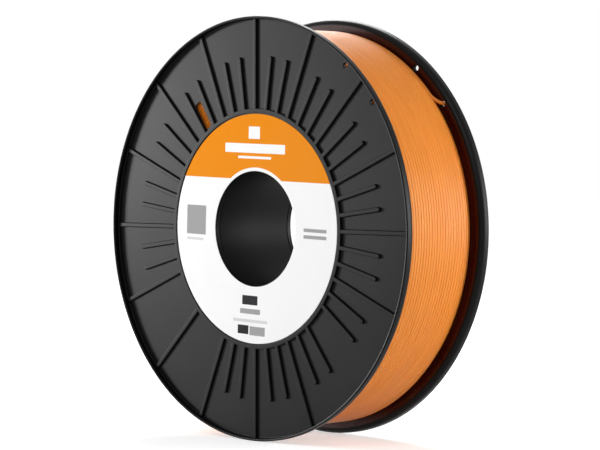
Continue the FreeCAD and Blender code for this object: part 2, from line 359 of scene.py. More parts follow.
def to_object(bm: BMesh, name: str, sharp: float = SHARP_ANGLE) -> Object:
    """Makes an object of a mesh, shaded smooth but for its sharp edges.

    Args:
        bm: the mesh, which is freed.
        name: the object's name.
        sharp: angle in degrees from which an edge is sharp.

    Returns:
        The object, linked to the scene.
    """
    limit = math.radians(sharp)
    for face in bm.faces:
        face.smooth = True
    for edge in bm.edges:
        edge.smooth = not (edge.is_manifold and edge.calc_face_angle(0.0) > limit)
    mesh = bpy.data.meshes.new(name)
    bm.to_mesh(mesh)
    bm.free()
    obj = bpy.data.objects.new(name, mesh)
    bpy.context.scene.collection.objects.link(obj)
    return obj


def evaluated(obj: Object) -> BMesh:
    """Takes the mesh of an object as its modifiers or its curve settings make it.

    Args:
        obj: the object.

    Returns:
        The mesh.
    """
    graph = bpy.context.evaluated_depsgraph_get()
    mesh = bpy.data.meshes.new_from_object(obj.evaluated_get(graph))
    bm = bmesh.new()
    bm.from_mesh(mesh)
    bpy.data.meshes.remove(mesh)
    return bm


def weighted(obj: Object) -> Object:
    """Keeps an object's broad faces flat in the shading, beside their rounded edges.

    Args:
        obj: the object.

    Returns:
        The same object.
    """
    modifier = obj.modifiers.new("flat_faces", "WEIGHTED_NORMAL")
    modifier.keep_sharp = True
    modifier.weight = 80
    return obj


def tube(name: str, points: Sequence[Vector], radius: float, sides: int) -> Object:
    """Round tube along points, as a closed mesh.

    Args:
        name: the object's name.
        points: the centre line.
        radius: the tube's radius.
        sides: number of faces round it, even and at least four.

    Returns:
        The object, linked to the scene.
    """
    curve = bpy.data.curves.new(name + "_line", "CURVE")
    curve.dimensions = "3D"
    curve.bevel_depth = radius
    curve.bevel_resolution = (sides - 4) // 2
    curve.use_fill_caps = True
    spline = curve.splines.new("POLY")
    spline.points.add(len(points) - 1)
    for place, point in zip(spline.points, points):
        place.co = (*point, 1.0)
    holder = bpy.data.objects.new(name + "_line", curve)
    bpy.context.scene.collection.objects.link(holder)
    bm = evaluated(holder)
    bpy.data.objects.remove(holder)
    bpy.data.curves.remove(curve)
    clean(bm)
    return to_object(bm, name, STRAND_SHARP_ANGLE)


@dataclass
class NodeSketch:
    """Helper that adds nodes to a tree and links them."""

    tree: NodeTree

    def add(self, kind: str, **props: object) -> Node:
        """Adds a node.

        Args:
            kind: the node's type name.
            props: properties to set on it.

        Returns:
            The node.
        """
        node = self.tree.nodes.new(kind)
        for key, value in props.items():
            setattr(node, key, value)
        return node

    def feed(self, socket: NodeSocket, value: object) -> None:
        """Links a socket to another, or sets its value.

        Args:
            socket: the input.
            value: another socket or a plain value.
        """
        if isinstance(value, NodeSocket):
            self.tree.links.new(value, socket)
        else:
            socket.default_value = value

    def fill(self, node: Node, values: dict[str, object]) -> None:
        """Feeds several inputs of a node by their names."""
        for label, value in values.items():
            self.feed(node.inputs[label], value)

    def math(self, operation: str, a: object, b: object = 0.0, clamp: bool = False) -> NodeSocket:
        """Adds a Math node.

        Args:
            operation: the node's operation.
            a: first value or socket.
            b: second value or socket.
            clamp: whether the result is held between 0 and 1.

        Returns:
            The result's socket.
        """
        node = self.add("ShaderNodeMath", operation=operation, use_clamp=clamp)
        self.feed(node.inputs[0], a)
        self.feed(node.inputs[1], b)
        return node.outputs[0]

    def span(self, value: object, low: float, high: float, to_low: float, to_high: float) -> NodeSocket:
        """Maps a range to another smoothly.

        Args:
            value: socket to map.
            low: start of the input range.
            high: end of the input range.
            to_low: result at low.
            to_high: result at high.

        Returns:
            The result's socket.
        """
        node = self.add("ShaderNodeMapRange", interpolation_type="SMOOTHSTEP")
        for place, number in enumerate((value, low, high, to_low, to_high)):
            self.feed(node.inputs[place], number)
        return node.outputs[0]

    def mix(self, factor: object, a: object, b: object) -> NodeSocket:
        """Mixes two colours.

        Args:
            factor: share of the second colour.
            a: first colour or socket.
            b: second colour or socket.

        Returns:
            The colour's socket.
        """
        node = self.add("ShaderNodeMix", data_type="RGBA")
        self.feed(node.inputs[0], factor)
        self.feed(node.inputs[6], a)
        self.feed(node.inputs[7], b)
        return node.outputs[2]

    def noise(self, vector: object, scale: object, detail: float) -> NodeSocket:
        """Adds a noise.

        Args:
            vector: coordinates.
            scale: cells per metre.
            detail: octaves.

        Returns:
            The noise's value socket.
        """
        node = self.add("ShaderNodeTexNoise")
        self.fill(node, {"Vector": vector, "Scale": scale, "Detail": detail})
        return node.outputs[0]


class Groups:
    """Shared effects, each built once as a node group."""

    @staticmethod
    def _new(
        name: str, inputs: dict[str, float | None], outputs: Sequence[str],
    ) -> tuple[NodeSketch, Node, Node]:
        """Starts a group with its sockets.

        Args:
            name: the group's name.
            inputs: default of each input, which is None for a vector.
            outputs: names of the outputs.

        Returns:
            The sketch, the input node and the output node.
        """
        tree = bpy.data.node_groups.new(name, "ShaderNodeTree")
        for label, default in inputs.items():
            kind = "NodeSocketVector" if default is None else "NodeSocketFloat"
            socket = tree.interface.new_socket(name=label, in_out="INPUT", socket_type=kind)
            if default is not None:
                socket.default_value = default
        for label in outputs:
            tree.interface.new_socket(name=label, in_out="OUTPUT", socket_type="NodeSocketFloat")
        sketch = NodeSketch(tree)
        return sketch, sketch.add("NodeGroupInput"), sketch.add("NodeGroupOutput")

    @classmethod
    @cache
    def grain(cls) -> NodeTree:
        """Fine moulded or printed grain, with slow changes of gloss over the surface.

        Returns:
            The group, with outputs Roughness, Height and Cloud.
        """
        sketch, source, sink = cls._new(
            "surface_grain",
            {"Vector": None, "Fine Scale": 2500.0, "Cloud Scale": 25.0, "Gloss Low": 0.35, "Gloss High": 0.5},
            ("Roughness", "Height", "Cloud"),
        )
        given = source.outputs
        fine_detail, cloud_detail, speck_depth = 4.0, 5.0, 0.06
        fine = sketch.noise(given["Vector"], given["Fine Scale"], fine_detail)
        cloud = sketch.noise(given["Vector"], given["Cloud Scale"], cloud_detail)
        share = sketch.span(cloud, 0.3, 0.7, 0.0, 1.0)
        spread = sketch.math("SUBTRACT", given["Gloss High"], given["Gloss Low"])
        rough = sketch.math("ADD", given["Gloss Low"], sketch.math("MULTIPLY", spread, share))
        speck = sketch.math("MULTIPLY", sketch.math("SUBTRACT", fine, 0.5), speck_depth)
        rough = sketch.math("ADD", rough, speck, clamp=True)
        sketch.fill(sink, {"Roughness": rough, "Height": fine, "Cloud": share})
        return sketch.tree

    @classmethod
    @cache
    def bar(cls) -> NodeTree:
        """Mask of a plain printed bar with rounded corners in the X and Z plane.

        Returns:
            The group, with the output Mask.
        """
        names = ("X", "Z", "Centre X", "Centre Z", "Half Length", "Half Height")
        sketch, source, sink = cls._new("printed_bar", dict.fromkeys(names, 0.0), ("Mask",))
        given = source.outputs
        corner = 0.3 * MM
        sides = []
        for place, centre, half in (("X", "Centre X", "Half Length"), ("Z", "Centre Z", "Half Height")):
            away = sketch.math("ABSOLUTE", sketch.math("SUBTRACT", given[place], given[centre]))
            inside = sketch.math("SUBTRACT", given[half], corner)
            past = sketch.math("MAXIMUM", sketch.math("SUBTRACT", away, inside), 0.0)
            sides.append(sketch.math("POWER", past, 2.0))
        distance = sketch.math("SQRT", sketch.math("ADD", *sides))
        sketch.feed(sink.inputs["Mask"], sketch.span(distance, corner * 0.9, corner * 1.1, 1.0, 0.0))
        return sketch.tree


def new_material(name: str) -> tuple[Material, NodeSketch, Node, NodeSocket]:
    """Starts a material.

    Args:
        name: the material's name.

    Returns:
        The material, its sketch, its shader and the socket of the piece's own coordinates.
    """
    material = bpy.data.materials.new(name)
    material.use_nodes = True
    sketch = NodeSketch(material.node_tree)
    shader = material.node_tree.nodes["Principled BSDF"]
    return material, sketch, shader, sketch.add("ShaderNodeTexCoord").outputs["Object"]


@dataclass(frozen=True)
class Grain:
    """Grain of a surface: cells per metre, range of roughness, and strength and depth of its relief."""

    fine_scale: float
    cloud_scale: float
    gloss: tuple[float, float]
    strength: float
    depth: float

    def cover(self, sketch: NodeSketch, shader: Node, place: NodeSocket) -> NodeSocket:
        """Feeds a shader's Roughness and Normal.

        Args:
            sketch: the material's sketch.
            shader: the material's shader.
            place: the piece's own coordinates.

        Returns:
            The socket of the slow changes over the surface, from 0 to 1.
        """
        group = sketch.add("ShaderNodeGroup", node_tree=Groups.grain())
        sketch.fill(group, {
            "Vector": place, "Fine Scale": self.fine_scale, "Cloud Scale": self.cloud_scale,
            "Gloss Low": self.gloss[0], "Gloss High": self.gloss[1],
        })
        made, bump = group.outputs, sketch.add("ShaderNodeBump")
        sketch.fill(bump, {"Strength": self.strength, "Distance": self.depth, "Height": made["Height"]})
        sketch.fill(shader, {"Roughness": made["Roughness"], "Normal": bump.outputs[0]})
        return made["Cloud"]


SATIN = Grain(fine_scale=4200.0, cloud_scale=18.0, gloss=(0.36, 0.41), strength=0.12, depth=0.04 * MM)
DRAWN = Grain(fine_scale=3000.0, cloud_scale=30.0, gloss=(0.35, 0.47), strength=0.15, depth=0.03 * MM)
PRINTED = Grain(fine_scale=1800.0, cloud_scale=12.0, gloss=(0.55, 0.62), strength=0.1, depth=0.03 * MM)


@dataclass(frozen=True)
class Surface:
    """What every finish has: a name, a grain and the uniform values of its shader."""

    name: str
    grain: Grain
    values: Values

    def colour(self, sketch: NodeSketch, place: NodeSocket, cloud: NodeSocket) -> NodeSocket:
        """Colour of the finish, from the piece's own coordinates and the grain's slow changes."""
        raise NotImplementedError

    def build(self) -> Material:
        """Builds the material.

        Returns:
            The material.
        """
        material, sketch, shader, place = new_material(self.name)
        cloud = self.grain.cover(sketch, shader, place)
        sketch.fill(shader, {"Base Color": self.colour(sketch, place, cloud), **dict(self.values)})
        return material


@dataclass(frozen=True)
class MouldedPlastic(Surface):
    """Black moulded plastic with a satin surface."""

    name: str = "black_moulded_plastic"
    grain: Grain = SATIN
    values: Values = (("IOR", 1.49), ("Specular IOR Level", 0.11))
    dark: Colour = (0.0015, 0.0015, 0.0017, 1.0)
    light: Colour = (0.003, 0.003, 0.0033, 1.0)

    def colour(self, sketch: NodeSketch, place: NodeSocket, cloud: NodeSocket) -> NodeSocket:
        """Two near tones that follow the grain's slow changes."""
        return sketch.mix(cloud, self.dark, self.light)


@dataclass(frozen=True)
class FilamentPlastic(Surface):
    """Orange extruded filament with a soft sheen."""

    name: str = "orange_filament"
    grain: Grain = DRAWN
    values: Values = (
        ("IOR", 1.46), ("Specular IOR Level", 0.4), ("Subsurface Weight", 0.35),
        ("Subsurface Radius", (1.0, 0.45, 0.15)), ("Subsurface Scale", 1.2 * MM),
    )
    deep: Colour = (0.80, 0.245, 0.018, 1.0)
    bright: Colour = (0.86, 0.27, 0.024, 1.0)
    streak_stretch: tuple[float, float, float] = (1.0, 14.0, 1.0)
    streak_scale: float = 40.0
    streak_detail: float = 2.0

    def colour(self, sketch: NodeSketch, place: NodeSocket, cloud: NodeSocket) -> NodeSocket:
        """Two near tones in streaks along the strand.

        Args:
            sketch: the material's sketch.
            place: the piece's own coordinates.
            cloud: the grain's slow changes.

        Returns:
            The colour's socket.
        """
        stretch = sketch.add("ShaderNodeMapping")
        sketch.fill(stretch, {"Vector": place, "Scale": self.streak_stretch})
        streaks = sketch.noise(stretch.outputs[0], self.streak_scale, self.streak_detail)
        return sketch.mix(sketch.span(streaks, 0.35, 0.65, 0.0, 1.0), self.deep, self.bright)


class Ink(Enum):
    """Inks of the plain printed bars."""

    PALE = (0.93, 0.93, 0.93, 1.0)
    GREY = (0.36, 0.36, 0.36, 1.0)
    MIST = (0.68, 0.68, 0.68, 1.0)
    DARK = (0.03, 0.03, 0.032, 1.0)


@dataclass(frozen=True)
class PrintedBar:
    """One plain printed bar on the label: centre and half sizes in millimetres, and its ink."""

    x: float
    z: float
    half_length: float
    half_height: float
    ink: Ink


LABEL_BARS: tuple[PrintedBar, ...] = (
    PrintedBar(-1.6, 45.3, 3.8, 2.9, Ink.PALE),
    PrintedBar(-1.0, 37.9, 20.3, 2.2, Ink.PALE),
    PrintedBar(-1.1, 33.6, 11.2, 0.6, Ink.PALE),
    PrintedBar(-40.6, 2.4, 6.7, 7.0, Ink.GREY),
    PrintedBar(-41.2, -6.8, 5.8, 0.6, Ink.MIST),
    PrintedBar(40.1, 1.2, 7.4, 0.8, Ink.GREY),
    PrintedBar(40.1, -1.9, 7.4, 0.8, Ink.GREY),
    PrintedBar(-2.2, -33.9, 5.2, 2.2, Ink.DARK),
    PrintedBar(-1.9, -39.2, 6.8, 1.2, Ink.GREY),
    PrintedBar(-1.7, -43.7, 11.6, 0.7, Ink.MIST),
    PrintedBar(-6.4, -48.0, 3.7, 2.1, Ink.DARK),
    PrintedBar(3.2, -48.3, 5.2, 2.1, Ink.GREY),
)


@dataclass(frozen=True)
class LabelFilm(Surface):
    """Printed film: an orange upper field over white, with plain bars and no lettering."""

    name: str = "printed_label_film"
    grain: Grain = PRINTED
    values: Values = (("Specular IOR Level", 0.01),)
    orange: Colour = (0.83, 0.265, 0.008, 1.0)
    white: Colour = (0.93, 0.93, 0.93, 1.0)
    shade: Colour = (0.6, 0.6, 0.62, 1.0)
    shade_share: float = 0.02
    line_z: float = 23.2 * MM
    line_slope: float = -0.0314
    bore_ring: float = 28.9 * MM
    blur: float = 0.04 * MM
    bars: tuple[PrintedBar, ...] = LABEL_BARS

    def colour(self, sketch: NodeSketch, place: NodeSocket, cloud: NodeSocket) -> NodeSocket:
        """The two fields, the bars on them and a trace of shade.

        Args:
            sketch: the material's sketch.
            place: the piece's own coordinates.
            cloud: the grain's slow changes.

        Returns:
            The colour's socket.
        """
        split = sketch.add("ShaderNodeSeparateXYZ")
        sketch.feed(split.inputs[0], place)
        x, z = split.outputs[0], split.outputs[2]
        along = sketch.math("ADD", x, sketch.math("MULTIPLY", z, self.line_slope))
        upward = sketch.math("SUBTRACT", z, sketch.math("MULTIPLY", x, self.line_slope))
        squares = sketch.math("ADD", sketch.math("POWER", x, 2.0), sketch.math("POWER", z, 2.0))
        reach = sketch.math("SQRT", squares)
        above = sketch.span(upward, self.line_z - self.blur, self.line_z + self.blur, 0.0, 1.0)
        outside = sketch.span(reach, self.bore_ring - self.blur, self.bore_ring + self.blur, 0.0, 1.0)
        colour = sketch.mix(sketch.math("MULTIPLY", above, outside), self.white, self.orange)
        for bar in self.bars:
            node = sketch.add("ShaderNodeGroup", node_tree=Groups.bar())
            sketch.fill(node, {
                "X": along, "Z": upward, "Centre X": bar.x * MM, "Centre Z": bar.z * MM,
                "Half Length": bar.half_length * MM, "Half Height": bar.half_height * MM,
            })
            colour = sketch.mix(node.outputs[0], colour, bar.ink.value)
        return sketch.mix(sketch.span(cloud, 0.0, 1.0, 0.0, self.shade_share), colour, self.shade)


class Dresser:
    """Gives finished pieces their material and body, and hides the CAD nodes that they stand for."""

    def __init__(self) -> None:
        """Builds each finish once."""
        tube_plastic = MouldedPlastic(name="black_tube_plastic", grain=replace(SATIN, gloss=(0.50, 0.56)))
        # The glossier finish of the faces toward the filament; its dark red base colour is a painted
        # reflection of the orange filament on plastic that is black.
        painted_reflection_plastic = MouldedPlastic(
            name="black_gloss_plastic_painted_red_reflection",
            dark=(0.027, 0.0016, 0.0008, 1.0),
            light=(0.036, 0.002, 0.001, 1.0),
            grain=replace(SATIN, gloss=(0.24, 0.30)),
            values=(("IOR", 1.49), ("Specular IOR Level", 0.3)),
        )
        self.finishes: dict[Finish, Material] = {
            Finish.PLASTIC: MouldedPlastic().build(),
            Finish.TUBE: tube_plastic.build(),
            Finish.INSIDE_PAINTED_REFLECTION: painted_reflection_plastic.build(),
            Finish.FILAMENT: FilamentPlastic().build(),
            Finish.LABEL: LabelFilm().build(),
        }

    def dress(self, obj: Object, finish: Finish, *nodes: str) -> None:
        """Finishes a piece, and gives the faces that it has marked the glossier finish with the painted red
        reflection.

        Args:
            obj: the piece.
            finish: its finish.
            nodes: CAD nodes that it replaces.
        """
        obj.data.materials.append(self.finishes[finish])
        if any(face.material_index for face in obj.data.polygons):
            obj.data.materials.append(self.finishes[Finish.INSIDE_PAINTED_REFLECTION])
        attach(obj, "root")
        if nodes:
            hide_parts(*nodes)
        log.info("%s: %d faces", obj.name, len(obj.data.polygons))


@dataclass
class Flange:
    """One moulded flange: spun disc, ribs, window and filament holes."""

    sizes: FlangeSizes = FlangeSizes()
    rib_sizes: RibSizes = RibSizes()
    openings: OpeningSizes = OpeningSizes()

    def _y(self, depth: float) -> float:
        """Place along the bore of a depth in the front flange."""
        return depth - self.sizes.half_width

    def disc(self) -> BMesh:
        """Spun hub, web and rim with their rounded edges.

        Returns:
            The mesh.
        """
        s = self.sizes
        corners = [
            (s.bore, s.depth, s.bore_round, 3),
            (s.bore, s.recess_floor, s.bore_round, 3),
            (s.ring_inner, s.recess_floor, s.ring_round, 2),
            (s.ring_inner, s.ring_top, s.ring_round, 2),
            (s.ring_outer, s.ring_top, s.ring_round, 2),
            (s.ring_outer, s.web_front, s.ring_foot, 2),
            (s.rim_inner, s.web_front, s.rim_fillet, 4),
            (s.rim_inner, 0.0, s.rim_inner_round, 5),
            (s.rim_radius, 0.0, s.rim_outer_round, 5),
            (s.rim_radius, s.depth, s.rim_back_round, 7),
        ]
        bm = lathe([(radius, self._y(depth)) for radius, depth, _, _ in corners], s.steps)
        round_rings(bm, [(radius, self._y(depth), size, count) for radius, depth, size, count in corners])
        return bm

    def rib(self, end: float, rounded: bool) -> BMesh:
        """One rib along +X, with drafted sides, rounded top edges and a fillet at its foot.

        Args:
            end: radius at which it ends.
            rounded: whether its outer end is round.

        Returns:
            The mesh.
        """
        s, r = self.sizes, self.rib_sizes
        start = s.ring_outer - r.in_ring - r.skirt
        half = r.base / 2 + r.skirt
        foot = self._y(s.web_front) + r.sunk
        bm = bmesh.new()
        corners = [(start, -half), (end + r.skirt, -half), (end + r.skirt, half), (start, half)]
        verts = [bm.verts.new((x, foot, z)) for x, z in corners]
        plate = bm.faces.new(verts)
        if rounded:
            bmesh.ops.bevel(
                bm, geom=verts[1:3], offset=half * r.end_share, segments=r.end_segments, profile=0.5,
                affect="VERTICES", clamp_overlap=False, material=-1,
            )
            plate = bm.faces[:][0]
        if plate.normal.y > 0:
            bmesh.ops.reverse_faces(bm, faces=[plate])
        bmesh.ops.inset_region(bm, faces=[plate], thickness=r.skirt, use_even_offset=True)
        foot_edges = list(plate.edges)
        grown = bmesh.ops.extrude_face_region(bm, geom=[plate])
        top_verts = [item for item in grown["geom"] if isinstance(item, BMVert)]
        top_faces = [item for item in grown["geom"] if isinstance(item, BMFace)]
        bmesh.ops.delete(bm, geom=[plate], context="FACES_ONLY")
        rise = s.web_front - s.ring_top - r.sunk / 2
        bmesh.ops.translate(bm, verts=top_verts, vec=(0.0, -rise, 0.0))
        bmesh.ops.scale(bm, verts=top_verts, vec=(1.0, 1.0, r.top / r.base))
        for vert in top_verts:
            if vert.co.x > end - r.base / 2:
                vert.co.x -= (r.base - r.top) / 2
        bevel(bm, [edge for face in top_faces for edge in face.edges], r.top_round, r.round_segments)
        bevel(bm, [edge for edge in foot_edges if edge.is_valid], r.foot_round, r.round_segments)
        return bm

    def ribs(self) -> list[BMesh]:
        """All the ribs, each turned to its place, without the ones that the moulding lacks.

        Returns:
            The meshes.
        """
        s, r = self.sizes, self.rib_sizes
        made = []
        for index in range(round(360.0 / r.pitch)):
            angle = index * r.pitch
            is_long = index % r.long_every == 0
            if is_long and math.isclose(angle, r.lacking_long):
                continue
            if not is_long and abs(angle - r.plain_bay) < r.plain_bay_spread:
                continue
            rib = self.rib(s.rim_inner + r.in_rim if is_long else r.short_end, not is_long)
            bmesh.ops.transform(rib, matrix=turned(angle), verts=rib.verts)
            made.append(rib)
        return made

    def hole_cutter(self, angle: float) -> BMesh:
        """Cutter for a filament hole, with a chamfer at each face of the web.

        Args:
            angle: place of the hole about the bore.

        Returns:
            The mesh.
        """
        s, o = self.sizes, self.openings
        front, back = self._y(s.web_front), self._y(s.depth)
        section = [
            (AXIS_RADIUS, front - o.overrun),
            (o.hole_radius + o.hole_lead + o.overrun, front - o.overrun),
            (o.hole_radius, front + o.hole_lead), (o.hole_radius, back - o.hole_relief),
            (o.hole_radius + o.hole_relief + o.overrun, back + o.overrun),
            (AXIS_RADIUS, back + o.overrun),
        ]
        bm = lathe(section, o.hole_steps)
        bmesh.ops.holes_fill(bm, edges=bm.edges, sides=0)
        clean(bm, 3 * AXIS_RADIUS)
        bmesh.ops.translate(bm, verts=bm.verts, vec=radial(angle) * o.hole_place)
        return bm

    def window_cutter(self) -> BMesh:
        """Cutter for the sight window, with a chamfer at each face of the web.

        Returns:
            The mesh.
        """
        s, o = self.sizes, self.openings
        front, back = self._y(s.web_front) + o.window_edge, self._y(s.depth) - o.window_relief
        bm = bmesh.new()
        bmesh.ops.create_cube(bm, size=1.0)
        bmesh.ops.scale(bm, verts=bm.verts, vec=(o.window_length, back - front, o.window_width))
        upright = [e for e in bm.edges if abs(e.verts[0].co.y - e.verts[1].co.y) > CORNER_TOLERANCE]
        bevel(bm, upright, o.window_corner, o.corner_segments)
        for side, depth in ((-1.0, o.window_edge + o.overrun), (1.0, o.window_relief + o.overrun)):
            cap = max(bm.faces, key=lambda f: side * f.calc_center_median().y)
            grown = bmesh.ops.extrude_face_region(bm, geom=[cap])
            verts = [item for item in grown["geom"] if isinstance(item, BMVert)]
            bmesh.ops.delete(bm, geom=[cap], context="FACES_ONLY")
            bmesh.ops.translate(bm, verts=verts, vec=(0.0, side * depth, 0.0))
            longer, wider = ((size + 2 * depth) / size for size in (o.window_length, o.window_width))
            bmesh.ops.scale(bm, verts=verts, vec=(longer, 1.0, wider))
        bmesh.ops.recalc_face_normals(bm, faces=bm.faces)
        middle = Vector((o.window_inner + o.window_length / 2, (front + back) / 2, 0.0))
        bmesh.ops.translate(bm, verts=bm.verts, vec=middle)
        bmesh.ops.transform(bm, matrix=turned(o.window_angle), verts=bm.verts)
        return bm

    def cut(self, disc: BMesh) -> BMesh:
        """Cuts the window and the holes through the disc.

        Args:
            disc: the disc, which is freed.

        Returns:
            The cut disc.
        """
        cutters = [self.window_cutter()] + [self.hole_cutter(angle) for angle in self.openings.hole_angles]
        body = to_object(disc, "disc_blank")
        tool = to_object(joined(cutters), "disc_cutters")
        modifier = body.modifiers.new("openings", "BOOLEAN")
        modifier.operation = "DIFFERENCE"
        modifier.solver = "EXACT"
        modifier.object = tool
        bm = evaluated(body)
        for obj in (body, tool):
            store = obj.data
            bpy.data.objects.remove(obj)
            bpy.data.meshes.remove(store)
        return bm

    def build(self) -> tuple[Object, Object]:
        """Builds both flanges, which come out of one mould, glossier on the face toward the filament, where a
        red reflection of the filament is painted.

        Returns:
            The front flange and the rear flange.
        """
        whole = joined([self.cut(self.disc())] + self.ribs())
        # Marks the faces toward the filament for the glossier finish with the painted red reflection.
        for face in whole.faces:
            face.material_index = int(face.calc_center_median().y > -self.sizes.inner_face - FACE_TOLERANCE)
        rear = whole.copy()
        half_turn = Matrix.Rotation(math.pi, 4, radial(sum(self.openings.hole_angles) / 2))
        bmesh.ops.transform(rear, matrix=half_turn, verts=rear.verts)
        front = weighted(to_object(whole, "flange_front"))
        return front, weighted(to_object(rear, "flange_rear"))


@dataclass
class Core:
    """Bore sleeve and winding drum, two plain tubes between the flanges."""

    sizes: CoreSizes = CoreSizes()
    flange: FlangeSizes = FlangeSizes()

    def ring(self, name: str, inner: float, outer: float, edge: float) -> Object:
        """Straight tube between the flanges, with rounded edges.

        Args:
            name: the object's name.
            inner: inner radius.
            outer: outer radius.
            edge: rounding of its four edges.

        Returns:
            The tube's object.
        """
        face = self.flange.inner_face - self.sizes.seam
        corners = [(inner, -face), (outer, -face), (outer, face), (inner, face)]
        bm = lathe(corners, ROUND_STEPS)
        round_rings(bm, [(radius, y, edge, self.sizes.round_segments) for radius, y in corners])
        return weighted(to_object(bm, name))

    def build(self) -> tuple[Object, Object]:
        """Builds both tubes.

        Returns:
            The sleeve and the drum.
        """
        s = self.sizes
        sleeve = self.ring("bore_sleeve_tube", self.flange.bore, s.sleeve_outer, s.sleeve_round)
        return sleeve, self.ring("winding_drum_tube", s.drum_inner, s.drum_outer, s.drum_round)


@dataclass
class Label:
    """Round printed film in the recess of the front hub."""

    flange: FlangeSizes = FlangeSizes()
    inner: float = 27.3 * MM
    outer: float = 54.2 * MM
    thickness: float = 0.15 * MM
    edge_round: float = 0.05 * MM
    round_segments: int = 2

    def build(self) -> Object:
        """Builds the label.

        Returns:
            The label's object.
        """
        floor = self.flange.recess_floor - self.flange.half_width
        top = floor - self.thickness
        corners = [(self.inner, floor), (self.inner, top), (self.outer, top), (self.outer, floor)]
        bm = lathe(corners, ROUND_STEPS)
        round_rings(
            bm, [(radius, top, self.edge_round, self.round_segments) for radius in (self.inner, self.outer)],
        )
        return weighted(to_object(bm, "label_front"))


@dataclass
class Winding:
    """The filament: outer layer and loose end, bed between its turns, sides, core and inner end."""

    sizes: WindingSizes = WindingSizes()
    ends: EndSizes = EndSizes()
    core: CoreSizes = CoreSizes()
    flange: FlangeSizes = FlangeSizes()
    openings: OpeningSizes = OpeningSizes()

    def layer(self, turns: float, first_y: float) -> list[Vector]:
        """Points of turns that travel clockwise and end where the loose end leaves them.

        Args:
            turns: number of turns.
            first_y: place of the first point along the bore.

        Returns:
            The points.
        """
        s = self.sizes
        travel = 360.0 * turns
        count = round(s.steps_per_turn * travel / 360.0)
        points = []
        for index in range(count + 1):
            gone = travel * index / count
            sway = s.waver * math.sin(math.radians(gone * s.waver_rates[0]) + first_y / MM)
            lift = s.waver * math.sin(math.radians(gone * s.waver_rates[1]))
            y = first_y + s.pitch * gone / 360.0 + sway
            points.append(radial(s.leaving_angle + travel - gone) * (s.outer_radius + lift) + Y_AXIS * y)
        return points

    def tail(self, leaving: Vector, heading: Vector) -> list[Vector]:
        """Points of the loose end, from the last turn through the rear flange's lower hole.

        Args:
            leaving: last point of the turns.
            heading: unit vector along the last turn.

        Returns:
            The points.
        """
        e = self.ends
        angle = self.openings.hole_angles[0]
        web_middle = self.flange.half_width - (self.flange.depth + self.flange.web_front) / 2
        hole = radial(angle) * self.openings.hole_place + Y_AXIS * web_middle
        slope = math.radians(e.tail_slope)
        direction = clockwise(angle) * math.cos(slope) + Y_AXIS * math.sin(slope)
        first, second = leaving + heading * e.tail_leaving, hole - direction * e.tail_entering
        points = []
        for index in range(1, e.tail_steps + 1):
            t = index / e.tail_steps
            u = 1.0 - t
            points.append(leaving * u ** 3 + first * 3 * u * u * t + second * 3 * u * t * t + hole * t ** 3)
        return points + [hole + direction * length for length in e.tail_beyond]

    def outer_layer(self) -> Object:
        """Outer layer and loose end as one tube.

        Returns:
            The tube's object.
        """
        s = self.sizes
        points = self.layer(s.turns, s.first_y)
        for index in range(s.climb_steps):
            share = index / s.climb_steps
            ease = share * share * (3.0 - 2.0 * share)
            out = Vector((points[index].x, 0.0, points[index].z)).normalized()
            points[index] -= out * s.layer_step * (1.0 - ease)
        heading = (points[-1] - points[-2]).normalized()
        return tube("winding_outer", points + self.tail(points[-1], heading), s.wire, s.wire_sides)

    def bed(self) -> Object:
        """Melted-in bed between neighbouring turns, which keeps the grooves shallow.

        Returns:
            The tube's object.
        """
        s = self.sizes
        points = self.layer(s.turns - 1.0, s.first_y + s.pitch / 2)
        return tube("winding_bed", points, s.bed, s.bed_sides)

    def side(self, name: str, sign: float) -> Object:
        """Side of the winding, as the turns that lie against a flange.

        Args:
            name: the object's name.
            sign: -1 at the front and 1 at the rear.

        Returns:
            The object.
        """
        s = self.sizes
        top = s.outer_radius - s.layer_step
        count = int((top - self.core.drum_outer - s.wire) / s.ring_step) + 1
        bm = bmesh.new()
        for index in range(count):
            centre = top - index * s.ring_step
            y = sign * (s.side_y - s.side_waver * math.sin(index * s.side_waver_rate) ** 2)
            grown = bmesh.ops.create_circle(bm, segments=s.side_wire_sides, radius=s.side_wire)
            bmesh.ops.translate(bm, verts=grown["verts"], vec=(centre, y, 0.0))
        spin(bm, bm.verts[:] + bm.edges[:], s.side_steps)
        return to_object(bm, name, STRAND_SHARP_ANGLE)

    def body(self) -> Object:
        """Turns inside the winding that never show, as one ring.

        Returns:
            The object.
        """
        s = self.sizes
        inner = self.core.drum_outer + s.drum_gap
        outer = s.outer_radius - s.layer_step - s.under_layer
        half = s.side_y
        bm = lathe([(inner, -half), (outer, -half), (outer, half), (inner, half)], s.steps_per_turn)
        return to_object(bm, "winding_body")

    def inner_end(self) -> Object:
        """Start of the filament, through the drum wall and bent along inside it.

        Returns:
            The tube's object.
        """
        s, e = self.sizes, self.ends
        out = radial(e.anchor_angle)
        height = Y_AXIS * (e.anchor_height - self.flange.inner_face)
        start = out * self.core.drum_outer + height
        bend = out * (self.core.drum_inner - s.wire) + height
        points = [start, (start + bend) / 2]
        for index in range(e.bend_steps + 1):
            turn = math.radians(90.0 * index / e.bend_steps)
            inward, along = math.sin(turn), 1.0 - math.cos(turn)
            points.append(bend - out * e.bend_radius * inward + Y_AXIS * e.bend_radius * along)
        points.append(points[-1] + Y_AXIS * e.inner_length)
        return tube("filament_inner_end", points, s.wire, s.wire_sides)


@dataclass(frozen=True)
class Lamp:
    """One soft lamp: azimuth and elevation in degrees, distance and size in metres, power in watts."""

    name: str
    azimuth: float
    elevation: float
    distance: float
    width: float
    height: float
    power: float

    def build(self) -> None:
        """Adds the lamp, turned to the object."""
        out = outward(self.azimuth, self.elevation)
        data = bpy.data.lights.new(self.name, "AREA")
        data.shape = "RECTANGLE"
        data.size, data.size_y = self.width, self.height
        data.energy = self.power
        obj = aimed(self.name, data, out * self.distance, out)
        obj.visible_camera = False


